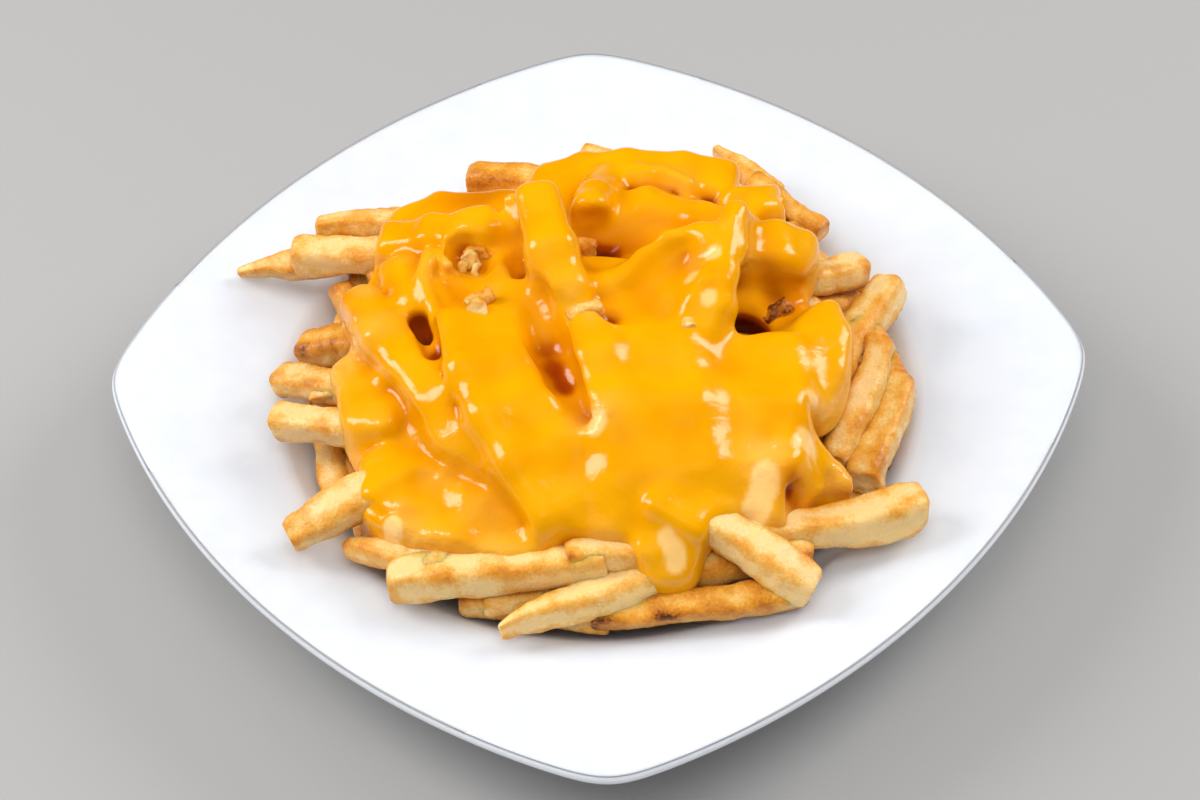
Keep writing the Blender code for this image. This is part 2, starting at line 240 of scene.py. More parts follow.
# Potato fried in oil: pale mealy faces, golden edges and ends, a thin crisp crust with an oily sheen.
def friedPotato():
    material, tree, shader = newMaterial("fried potato")
    place = addPlace(tree)
    blotch = addNoise(tree, place, crustLook["blotch"], 3.0)
    crumb = addNoise(tree, place, crustLook["crumb"], 4.0, 0.6)
    patch = addMath(tree, "MULTIPLY_ADD", {1: 0.9, 2: -0.45}, {0: blotch})
    speck = addMath(tree, "MULTIPLY_ADD", {1: 0.6, 2: -0.3}, {0: crumb})
    total = addMath(tree, "ADD", {}, {0: readTrait(tree, "browning"), 1: patch})
    total = addMath(tree, "ADD", {}, {0: total, 1: speck})
    tint = addRamp(tree, total, crustLook, ((0.16, "pale"), (0.34, "straw"), (0.56, "gold"),
                                            (0.84, "brown"), (1.0, "dark")))
    bump = addBump(tree, 0.4, 0.7, {"Height": crumb})
    bump = addBump(tree, 1.0, 0.5, {"Height": blotch, "Normal": bump})
    gloss = addRange(tree, blotch, 0.3, 0.7, 0.2, 0.4)
    setNode(tree, shader, {"IOR": 1.46, "Subsurface Weight": 0.45, "Subsurface Radius": (1.0, 0.45, 0.12),
                           "Subsurface Scale": crustLook["mealDepth"] * mm},
            {"Base Color": tint, "Normal": bump, "Roughness": gloss})
    return material


cheeseLook = {
    "thick": "#EDA300",
    "deep": "#E79800",
    "softPaintedShade": "#DE7E00",  # painted shade in a bend
    "paintedShade": "#9C3A00",  # painted shade farther into a bend
    "deepPaintedShade": "#4A0E00",  # painted shade at the bottom of a gap
    "thin": "#F8C878",  # where the crust shows through a thin coat, and painted highlight
    "swirl": 16.0,  # millimetres across a slightly deeper patch
    "grain": 1.2,  # millimetres across a faint grain in the melted cheese
    "ripple": 5.5,  # millimetres across a soft dent
    "roughness": (0.1, 0.18),
    "fatDepth": 2.5,  # how far light goes into it
}


# Processed cheese melted with milk: an opaque, saturated yellow, wet gloss over a soft body.
def cheeseSauce():
    material, tree, shader = newMaterial("melted cheese sauce")
    place = addPlace(tree)
    swirl = addNoise(tree, place, cheeseLook["swirl"], 2.0)
    grain = addNoise(tree, place, cheeseLook["grain"], 2.0)
    ripple = addNoise(tree, place, cheeseLook["ripple"], 1.5)
    # Painted shade: bends, folds and gaps turn deeper orange, then brown, by a trait of the mesh.
    paintedShade = readTrait(tree, "paintedShade")
    body = addRamp(tree, swirl, cheeseLook, ((0.35, "deep"), (0.6, "thick")))
    # Pale where the coat is thin, and painted highlights in the same colour.
    tint = addNode(tree, "ShaderNodeMix", {"data_type": "RGBA", 7: hexLinear(cheeseLook["thin"])},
                   {0: readTrait(tree, "thinness"), 6: body}).outputs[2]
    shaded = addRamp(tree, paintedShade, cheeseLook, ((0.1, "softPaintedShade"), (0.5, "paintedShade"), (1.0, "deepPaintedShade")))
    share = addRange(tree, paintedShade, 0.0, 0.45)
    tint = addNode(tree, "ShaderNodeMix", {"data_type": "RGBA"}, {0: share, 6: tint, 7: shaded}).outputs[2]
    lift = addRange(tree, readTrait(tree, "rough"), 0.0, 1.0, 0.2, 0.9)
    bump = addBump(tree, 0.4, 1.0, {"Height": grain, "Strength": lift})
    bump = addBump(tree, 0.8, 0.3, {"Height": ripple, "Normal": bump})
    gloss = addRange(tree, swirl, 0.3, 0.7, *cheeseLook["roughness"])
    setNode(tree, shader, {"IOR": 1.47, "Specular IOR Level": 0.4, "Subsurface Weight": 0.08,
                           "Subsurface Radius": (1.0, 0.45, 0.05),
                           "Subsurface Scale": cheeseLook["fatDepth"] * mm},
            {"Base Color": tint, "Normal": bump, "Roughness": gloss})
    return material


glaze = glazedCeramic()
crust = friedPotato()
cheese = cheeseSauce()
print("materials made")


# Plate

plate = {
    "halfDiagonal": 140.0,  # centre to the point where two bowed sides would meet
    "bow": 23.3,
    "cornerSoftness": 2.5,
    "rimHeight": 38.0,
    "rimPower": 1.1,  # its rise grows with the share of the way outwards to this power
    "edgeRadius": 1.5,
    "lipRadius": 93.0,  # where the well turns over into the rim
    "lipHeight": 29.0,
    "floorHeight": 9.0,
    "thickness": 4.2,
    "footRadius": 56.0,
    "footWidth": 5.0,
    "bearings": 384,
    "cornerCrowding": 0.55,
}


# Centre to edge: the nearest of four arcs, as a soft minimum, minus s log of the sum of exp(-r / s).
def plateReach(bearing):
    chord = plate["halfDiagonal"] * math.sqrt(2)
    arcRadius = (chord ** 2 / 4 + plate["bow"] ** 2) / (2 * plate["bow"])
    centre = plate["halfDiagonal"] / 2 - (arcRadius - plate["bow"]) / math.sqrt(2)
    turn = bearing[..., None] - np.arange(4) * math.pi / 2
    along = centre * (np.cos(turn) + np.sin(turn))
    reach = along + np.sqrt(arcRadius ** 2 - 2 * centre ** 2 + along ** 2)
    spread = np.exp((plate["halfDiagonal"] - reach) / plate["cornerSoftness"]).sum(axis=-1)
    return plate["halfDiagonal"] - plate["cornerSoftness"] * np.log(spread)


# Radii and heights along the well, from its middle out to the lip.
def wellStations():
    floor, lip, lipRadius = plate["floorHeight"], plate["lipHeight"], plate["lipRadius"]
    radii = (0.0, 56.0, 64.0, 72.0, 79.0, 84.5, 88.0, 90.6, lipRadius)
    heights = (floor, floor, floor + 0.6, floor + 3.0, floor + 8.0, floor + 13.2, lip - 3.3, lip - 1.0, lip)
    return radii, heights


# Height of the rim at a share of the way from the well's lip to the edge.
def rimTop(share):
    return plate["lipHeight"] + (plate["rimHeight"] - plate["lipHeight"]) * share ** plate["rimPower"]


# Height of the plate's upper skin over a place.
def plateTop(x, y):
    r = np.hypot(x, y)
    share = (r - plate["lipRadius"]) / (plateReach(np.arctan2(y, x)) - plate["lipRadius"])
    well = smoothLine(*wellStations(), np.minimum(r, plate["lipRadius"]))
    return np.where(r < plate["lipRadius"], well, rimTop(np.clip(share, 0, 1)))


# A profile carried round the bearings: across the top, over a rounded edge and back to the foot.
def buildPlate():
    turn = 2 * math.pi * np.arange(plate["bearings"]) / plate["bearings"]
    bearing = turn - plate["cornerCrowding"] * np.sin(4 * turn) / 4
    reach = plateReach(bearing)
    inner, lip, thick = plate["lipRadius"], plate["lipHeight"], plate["thickness"]
    foot, width, edge = plate["footRadius"], plate["footWidth"], plate["edgeRadius"]
    wellRadii = np.concatenate([np.linspace(4, 54, 8), np.linspace(57, inner, 34)])
    rings = list(zip(wellRadii, smoothLine(*wellStations(), wellRadii)))
    shares = np.concatenate([np.linspace(0, 1, 18)[1:-1] ** 0.9, [0.985]])
    rings += [(inner + (reach - inner) * share, rimTop(share)) for share in shares]
    rings += [(reach - edge + edge * math.cos(a), plate["rimHeight"] - 1.75 + edge * math.sin(a))
              for a in np.linspace(math.radians(75), math.radians(-80), 9)]
    rings += [(inner + (reach - inner) * share, rimTop(share) - thick * (1.05 - 0.2 * share))
              for share in np.linspace(0.96, 0.1, 9)]
    underRadii = np.linspace(inner, foot + 2.2, 14)
    under = smoothLine((foot + 2.0, 66.0, 76.0, 84.0, 90.0, inner + 3.0),
                       (4.8, 4.9, 7.2, 12.2, 20.0, lip - thick - 0.2), underRadii)
    rings += zip(underRadii, under)
    rings += ((foot + 0.9, 3.4), (foot + 0.5, 1.2), (foot - 0.3, 0.25), (foot - 1.0, 0.0),
              (foot - width + 1.0, 0.0), (foot - width + 0.3, 0.25), (foot - width - 0.5, 1.2),
              (foot - width - 0.9, 3.4), (foot - width - 2.4, 4.8), (20.0, 4.8), (3.0, 4.8))
    radius = np.array([r + 0 * reach for r, z in rings])
    height = np.array([z + 0 * reach for r, z in rings])
    skin = np.stack([radius * np.cos(bearing), radius * np.sin(bearing), height], axis=-1)
    obj = makeRings("plate_glazed", skin, [(0, 0, plate["floorHeight"]), (0, 0, height[-1, 0])])
    obj.data.materials.append(glaze)
    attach(obj, "root")
    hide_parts("plate")


buildPlate()
print("plate made")


# Heap of fries

# A row of ranges says how fries lie: radius, depth under the heap's skin, turn and length, each from and to,
# then what is added to the turn and the share of the skin's slope that they follow.
heap = {
    "foot": 36.0,
    "rise": 36.0,
    "radius": 92.0,
    "fullness": 0.9,
    "coreDepth": 13.0,  # heap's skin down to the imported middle
    "coreReach": 70.0,
    # dark browning of the core, which paints the shade seen between the fries
    "corePaintedShadeBrowning": 0.75,
    "fineMesh": (36, 60),  # points round a fry that shows, and rings along it
    "plainMesh": (16, 24),  # and of one under them
    "hidden": 13.0,  # how much farther a fry runs into the heap than shows
    "ringFries": 56,  # fries that lie round the wall of the well
    "lowerRing": ((79, 82), (17, 21), (-28, 28), (28, 46), 90, 0),
    "upperRing": ((77, 81), (14, 18), (-28, 28), (28, 46), 90, 0),
    "layerFries": 60,  # fries that lie on the flank under the sauce's edge
    "layerStep": 137.5,  # degrees from one to the next
    "layer": ((54, 70), (10.5, 14), (50, 130), (28, 38), 0, 1),
    "backFries": 6,  # short ends that stand out at the back, where the picture shows none
    "backSide": (52, 92),  # first bearing, and how far round they go
    "back": ((66, 70), (11, 13), (-50, 50), (24, 32), 0, 1),
    "openSides": ((-50, 12), (165, 214)),  # bearings where nothing lies over the shown fries
    "frontFry": (262, 312),  # bearings where a shown fry lies along the wall itself
    "clearance": 0.5,
    "slides": 10,  # how often a fry may be moved a millimetre inwards
    "seed": 21,
}

stick = {
    "scrap": 12,  # a shorter one is a scrap, rounder and lumpier
    "squareness": 3.3,  # power of the superellipse section
    "scrapSquareness": 2.4,
    "powerGive": (0.85, 1.2),
    "widthGive": (0.93, 1.07),
    "heightGive": (0.88, 1.02),
    "leanGive": (-0.35, 0.35),  # radians that its section turns, and again along it
    "edgeCrowding": 0.45,  # points drawn towards its four edges
    "faceSink": 0.05,  # how hollow its faces are
    "endRings": (0.08, 0.28, 0.5, 0.72, 0.9),  # rings across a cut end, as shares of its width
    "endSink": 0.03,
    "endRounding": 0.3,
    "fullWidth": 9,  # thinner ones have less relief
    "edgeBrowning": 0.3,
    "endBrowning": 0.2,
}

# Fries that show: middle of the shown end, heading and climb into the heap, shown length, width,
# how pointed the end is (0 a cut end, 1 a point), bow and browning.
shownFries = (
    ((-106, 41, 36.5), 1, 9, 28, 8, 0.8, 0.02, 0.3),
    ((-88, 38, 45), -4, 8, 27, 10.5, 0.1, 0, 0.1),
    ((-83, 53, 43), -4, 2, 23, 7.5, 0.3, 0.03, 0.3),
    ((-66, 57, 41), -12, 8, 15, 7.5, 0.2, 0, 0.4),
    ((-76, 33, 38), -62, -27, 15, 7.5, 0.2, 0, 0.35),
    ((-85, 11, 34), -20, 24, 20, 9.5, 0.2, 0, 0.38),
    ((-90, -3, 37), -30, 18, 25, 10.5, 0.1, 0, 0.22),
    ((-80, -14, 41), -15, 28, 15, 5.5, 0.6, 0, 0.2),
    ((-89, -23, 42), -17, 13, 22, 10.5, 0, 0, 0.08),
    ((-79, -24, 33), -65, -45, 14, 8.5, 0.2, 0, 0.4),
    ((-83, -62, 39), 26, 11, 26, 11, 0.2, 0.04, 0.1),
    ((-68, -63, 36), -24, 12, 20, 9, 0.6, 0, 0.3),
    ((-56, -77, 38), 1, 5, 44, 10.5, 0.3, 0.03, 0.12),
    ((-38, -78.5, 30.5), -11, 0, 27, 8.5, 0.3, 0, 0.3),
    ((-27, -92, 36), 19, 2, 32, 10, 0.9, 0.03, 0.08),
    ((-4, -86.5, 34), 6, 2, 44, 8.5, 0.4, 0, 0.44),
    ((9, -78, 35), 10, 4, 29, 9, 0.1, 0, 0.34),
    ((-10, -76.5, 46), 9, -8, 17, 9, 0.2, 0, 0.2),
    ((54, -83, 38), 154, 17, 32, 11, 0.15, 0.05, 0.06),
    ((54, -72, 38), 174, 15, 13, 8, 0.2, 0, 0.25),
    ((85, -58, 41), -167, 3, 37, 11.5, 0.15, -0.04, 0.1),
    ((63, -40, 38), 66, 12, 28, 9.5, 0.2, 0, 0.16),
    ((71, -46, 35), 68, 4, 24, 11.5, 0.1, 0.02, 0.26),
    ((85, -12, 37), 125, 24, 10, 8.5, 0.2, 0, 0.38),
    ((85, 20, 45), -120, -2, 28, 10.5, 0.15, 0, 0.15),
    ((77, 27, 45), -152, 18, 23, 11, 0.1, 0, 0.2),
    ((68, 46, 42), 135, 4, 16, 7.5, 0.2, 0, 0.35),
    ((38, 86, 40), -52, 4, 16, 7, 0.8, 0, 0.2),
    ((-3, 87, 39.5), -32, 3, 15, 8, 0.1, 0, 0.22),
    ((-38, 72, 42), -9, 3, 19, 12.5, 0.4, 0.03, 0.42),
    ((76, 21, 37), -150, 22, 16, 8, 0.2, 0, 0.45),
)

# Bare ends and scraps that the sauce leaves open, in the same order of values.
bareEnds = (
    ((-32, -10, 70), 84, -42, 9, 7.5, 0.3, 0, 0.14),
    ((-35, -8, 69), 35, 10, 8, 5, 0.4, 0, 0.28),
    ((-37, 11, 63), 70, 25, 6, 4, 0.3, 0, 0.35),
    ((-33, 13, 64), 150, 40, 5, 4.5, 0.3, 0, 0.25),
    ((-36, 15, 64.5), 20, 15, 6, 5, 0.2, 0, 0.5),
    ((-33, 9, 63.5), 100, 30, 4, 3, 0.3, 0, 0.2),
    ((-8, -14.5, 70.2), 24, 4, 10, 5.5, 0.3, 0, 0.3),
    ((25, -19.5, 69.5), 100, -10, 6, 6, 0.3, 0, 0.3),
    ((-8.5, 20.5, 63.5), -10, 2, 9, 5.5, 0.3, 0, 0.55),
    ((46.5, -4, 55.5), 40, 15, 9, 6, 0.4, 0, 0.62),
    ((44, -1, 56.5), 100, 10, 6, 4.5, 0.4, 0, 0.7),
    ((80, -10, 41), 100, 10, 6, 5.5, 0.3, 0, 0.9),
    ((72, -12, 45), 60, -10, 6, 4.5, 0.3, 0, 0.85),
)


# Skin of the heap: foot + rise times (1 - (r / radius) squared) to the power of its fullness.
def moundHeight(x, y):
    share = np.clip(1 - (np.hypot(x, y) / heap["radius"]) ** 2, 0, 1)
    return heap["foot"] + heap["rise"] * share ** heap["fullness"]


# Unit vectors along a fry, across it level, and across it upwards.
def fryAxes(heading, climb):
    turn, rise = math.radians(heading), math.radians(climb)
    along = np.array([math.cos(turn) * math.cos(rise), math.sin(turn) * math.cos(rise), math.sin(rise)])
    side = np.array([-math.sin(turn), math.cos(turn), 0.0])
    return along, side, np.cross(along, side)


# A superellipse section, 1 / (|cos| ^ p + |sin| ^ p) ^ (1 / p), carried along a bowed and twisted line.
# Its ends are cut flat with a sunk middle, or drawn down to a wedge, and noise lifts blisters on it.
def fryRings(fry, draw, around, rings):
    start, heading, climb, length, thick, point, bow, browning = fry
    along, side, up = fryAxes(heading, climb)
    scrap = length < stick["scrap"]
    turn = 2 * math.pi * np.arange(around) / around
    turn = turn + stick["edgeCrowding"] * np.sin(4 * turn) / 4
    power = stick["scrapSquareness" if scrap else "squareness"] * draw.uniform(*stick["powerGive"])
    rho = (np.abs(np.cos(turn)) ** power + np.abs(np.sin(turn)) ** power) ** (-1 / power)
    face = np.cos(2 * turn) ** 2
    rho = rho * (1 - stick["faceSink"] * face)
    # rings across both ends and, closer together near them, along the sides
    cut = np.array(stick["endRings"])
    count = rings - 2 * len(cut)
    share = 0.55 * (1 - np.cos(np.linspace(0, math.pi, count))) / 2 + 0.45 * np.linspace(0, 1, count)
    station = np.concatenate([0 * cut, share, 0 * cut + 1]) * length
    dent = stick["endSink"] * thick * (1 - cut ** 2)
    sunk = np.concatenate([dent, 0 * share, -dent[::-1]])
    capScale = np.concatenate([cut * 0.95, 0 * share + 1, cut[::-1] * 0.95])
    toEnd = np.minimum(station, length - station)
    # half widths, drawn in at the ends and towards a point
    soft = 0.8 + 0.2 * np.sqrt(1 - (1 - toEnd / (stick["endRounding"] * thick)).clip(0, 1) ** 2)
    taper = 1 - point * (1 - ease(-4, 6 + 16 * point, station)) * 0.9
    slim = 1 - 0.55 * point * (1 - ease(-4, 4 + 10 * point, station)) * 0.9
    t = station / length
    swell = 1 + 0.09 * np.sin(t * draw.uniform(3, 8) + draw.uniform(0, 6))
    wide = thick / 2 * draw.uniform(*stick["widthGive"]) * swell * soft * capScale * taper
    high = thick / 2 * draw.uniform(*stick["heightGive"]) * swell * soft * capScale * slim
    give = stick["leanGive"]
    lean = (draw.uniform(*give) + draw.uniform(*give) * (t - 0.5))[:, None]
    across = np.cos(turn) * rho * wide[:, None]
    raised = np.sin(turn) * rho * high[:, None]
    leant = across * np.cos(lean) - raised * np.sin(lean)
    lifted = across * np.sin(lean) + raised * np.cos(lean)
    arch = bow * length * 4 * t * (1 - t)
    sway = draw.uniform(-0.03, 0.03) * length * 4 * t * (1 - t) + 0.5 * np.sin(t * draw.uniform(4, 8))
    middle = np.asarray(start, float) + np.outer(station + sunk, along)
    middle = middle + np.outer(arch, up) + np.outer(sway, side)
    points = middle[:, None, :] + leant[..., None] * side + lifted[..., None] * up
    # relief of the crust, and browning along its edges and near its ends
    outward = points - middle[:, None, :]
    outward /= np.maximum(np.linalg.norm(outward, axis=-1, keepdims=True), 0.01)
    shift = draw.uniform(0, 500, 3)  # so that no two fries have the same noise
    size = min(1, thick / stick["fullWidth"]) ** 2
    relief = 0.75 * size * lumps(points + shift, 7.5, 3) + 0.34 * size * lumps(points + shift, 3.0, 4)
    relief += 0.16 * lumps(points + shift, 1.3, 5) + 0.5 * scrap * lumps(points + shift, 2.0, 10)
    points = points + outward * relief[..., None] * np.minimum(capScale, 1)[:, None, None]
    atEnd = np.concatenate([0 * cut + 1, 0 * share, 0 * cut - 1])[:, None]
    points = points - along * (0.5 * atEnd * lumps(points + shift, 2.2, 9))[..., None]
    brown = stick["edgeBrowning"] * (1 - face) + stick["endBrowning"] * np.exp(-toEnd / 2.5)[:, None]
    onSide = np.clip((capScale - 0.8) / 0.2, 0, 1)[:, None]
    shade = browning + brown * onSide * size + 0.2 * lumps(points + shift, 8, 6)
    shade += 0.12 * lumps(points + shift, 2.5, 7)
    poles = np.stack([middle[0] + along * 0.2, middle[-1] - along * 0.2])
    poleShade = np.array([shade[0].mean(), shade[-1].mean()])
    return np.concatenate([points.reshape(-1, 3), poles]), np.concatenate([shade.ravel(), poleShade])


# Free height between a fry and the plate under it.
def plateRoom(points):
    return (points[:, 2] - plateTop(points[:, 0], points[:, 1])).min() - heap["clearance"]


# Slides a fry that would cross the plate inwards, a millimetre at a time, and lifts it for the rest.
def settle(points):
    outward = points[:, :2].mean(axis=0)
    outward /= np.linalg.norm(outward)
    for _ in range(heap["slides"]):
        if plateRoom(points) >= 0:
            return points
        points = points - np.array([*outward, 0.0])
    return points - np.array([0, 0, min(0.0, plateRoom(points))])


# A fry with its middle at a bearing in degrees, laid by a row of ranges.
def laidFry(draw, bearing, ranges):
    r, depth, turn, length = [draw.uniform(*ends) for ends in ranges[:4]]
    added, follow = ranges[4:]
    place = math.radians(bearing)
    heading = math.degrees(place) + (added + turn)
    middle = np.array([r * math.cos(place), r * math.sin(place), 0.0])
    level = fryAxes(heading, 0)[0] * 10
    rise = moundHeight(*(middle + level)[:2]) - moundHeight(*(middle - level)[:2])
    climb = follow * math.degrees(math.atan2(rise, 20)) + draw.uniform(-9, 9) * (1 - 0.5 * follow)
    along = fryAxes(heading, climb)[0]
    middle[2] = float(moundHeight(middle[0], middle[1])) - depth
    return (tuple(middle - along * length / 2), heading, climb, length, draw.uniform(8, 10.5),
            draw.choice((0.1, 0.15, 0.2, 0.6)), draw.uniform(-0.02, 0.03), draw.uniform(0.12, 0.42))


# Fries that fill the heap between and under the shown ones: round the wall, on the flank, at the back.
def fillerFries(draw):
    count = heap["ringFries"]
    for k in range(count):
        bearing = 360 * k / count * 2 + draw.uniform(-5, 5)
        lower = k < count / 2
        fry = laidFry(draw, bearing, heap["lowerRing" if lower else "upperRing"])
        taken = heap["frontFry"][0] < bearing % 360 < heap["frontFry"][1]
        if not taken and (lower or not isOpen(bearing)):
            yield fry
    for k in range(heap["layerFries"]):
        bearing = heap["layerStep"] * k
        fry = laidFry(draw, bearing, heap["layer"])
        if not isOpen(bearing):
            yield fry
    first, span = heap["backSide"]
    for k in range(heap["backFries"]):
        yield laidFry(draw, first + span * k / heap["backFries"] + draw.uniform(-3, 3), heap["back"])


def isOpen(bearing):
    return any(low < (bearing - low) % 360 + low < high for low, high in heap["openSides"])


# Gives a piece of the heap its browning, its crust and its body, and hides the imported node that it stands
# for.
def dressFries(obj, browning):
    addTrait(obj, "browning", browning)
    obj.data.materials.append(crust)
    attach(obj, "root")
    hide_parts("fries")


# Makes one object of many fries, each a closed tube.
def joinFries(name, fries, around, rings):
    quads, tris = tubeFaces(rings, around)
    count = rings * around + 2
    skins, shades = [], []
    for k, fry in enumerate(fries):
        points, shade = fryRings(fry, np.random.default_rng(heap["seed"] + 101 * k), around, rings)
        skins.append(settle(points))
        shades.append(shade)
    offset = np.arange(len(fries))[:, None, None] * count
    quads, tris = (offset + quads).reshape(-1, 4), (offset + tris).reshape(-1, 3)
    dressFries(makeMesh(name, np.concatenate(skins), quads, tris), np.concatenate(shades))


# The imported middle of the heap: a dome of polar rings under the fries, closed below, browned dark as
# painted shade between the fries.
def buildCore():
    bearing = 2 * math.pi * np.arange(96) / 96
    share = np.concatenate([np.linspace(0.05, 1, 26), [0.97, 0.8, 0.4]])
    radius = share * heap["coreReach"]
    height = moundHeight(radius, 0) - heap["coreDepth"]
    height[-3:] = plate["floorHeight"] + 1.5
    skin = np.stack([radius[:, None] * np.cos(bearing), radius[:, None] * np.sin(bearing),
                     height[:, None] + 0 * bearing], axis=-1)
    skin[..., 2] += 1.5 * lumps(skin, 9, 8) * (np.arange(len(share)) < 26)[:, None]
    obj = makeRings("fries_core", skin, [(0, 0, skin[0, :, 2].mean()), (0, 0, height[-1])])
    dressFries(obj, np.full(len(obj.data.vertices), heap["corePaintedShadeBrowning"]))


runIn = [(*fry[:3], fry[3] + heap["hidden"], *fry[4:]) for fry in shownFries]
joinFries("fries_shown", runIn + list(bareEnds), *heap["fineMesh"])
joinFries("fries_under", list(fillerFries(np.random.default_rng(heap["seed"]))), *heap["plainMesh"])
buildCore()
print("fries made:", len(runIn), "shown, others under them")


# Cheese sauce

sauce = {
    "cell": 1.0,  # spacing of the lattice on which the sauce is worked out
    "box": ((-80.0, 79.0), (-90.0, 80.0), (28.0, 88.0)),  # the lattice's ends along x, y and z
    "melt": 0.9,  # how far surface tension has evened it out
    "crowd": (3, 6),  # reaches, in cells, over which a bend and a deep valley are felt for the painted shade
    "depth": 7.0,  # heap's skin down to the underside at the edge
    "fill": 8.0,  # how much deeper it has run between the fries farther in
    "sink": 2.2,  # how far the plain blanket lies under the heap's skin
    "coat": 2.0,  # sauce over a fry that runs out of it
    "lip": 3.6,  # rounding of its edge
    "hiddenFries": 12,  # small forms set by a seeded rule, with radians from one bearing to the next
    "hiddenStep": 2.4,
    "hiddenReach": 66,
    "hiddenHalf": (9, 18),  # half their length, from and to
    "hiddenDrop": (6.5, 8),  # heap's skin down to their middle
    "hiddenWidth": 9.5,
    "seed": 5,
}

# Outline of the sauce seen from above, anticlockwise from the right.
sauceOutline = (
    (70, -14), (68.5, -7), (68, -1), (64.5, 2), (60, 3), (60, 7), (62.5, 13), (63, 20), (61, 29), (57, 35),
    (54, 38), (55, 47), (58, 56), (52, 60), (44, 63), (34, 66), (20, 69), (5, 70), (-8, 67), (-16, 61),
    (-21, 55), (-30, 54), (-40, 60), (-50, 61), (-58, 54), (-63, 45), (-62, 34), (-64, 24), (-70, 17),
    (-73, 8), (-69, -4), (-74, -12), (-72, -21), (-70, -34), (-67, -42), (-64, -50), (-64, -59), (-57, -66),
    (-50, -70), (-35, -75), (-20, -77), (-15, -75), (-8, -72), (0, -73), (6, -73.5), (7.5, -76.5), (9, -80),
    (12.5, -82.8), (17.5, -83.7), (22.5, -82.3), (25.5, -79), (27, -74.5), (31, -70), (38, -68), (42, -70),
    (47, -70), (50, -64), (58, -58), (68, -56), (66, -52), (60.5, -47), (55.5, -41.5), (60, -38.5),
    (65, -33), (68.5, -24),
)

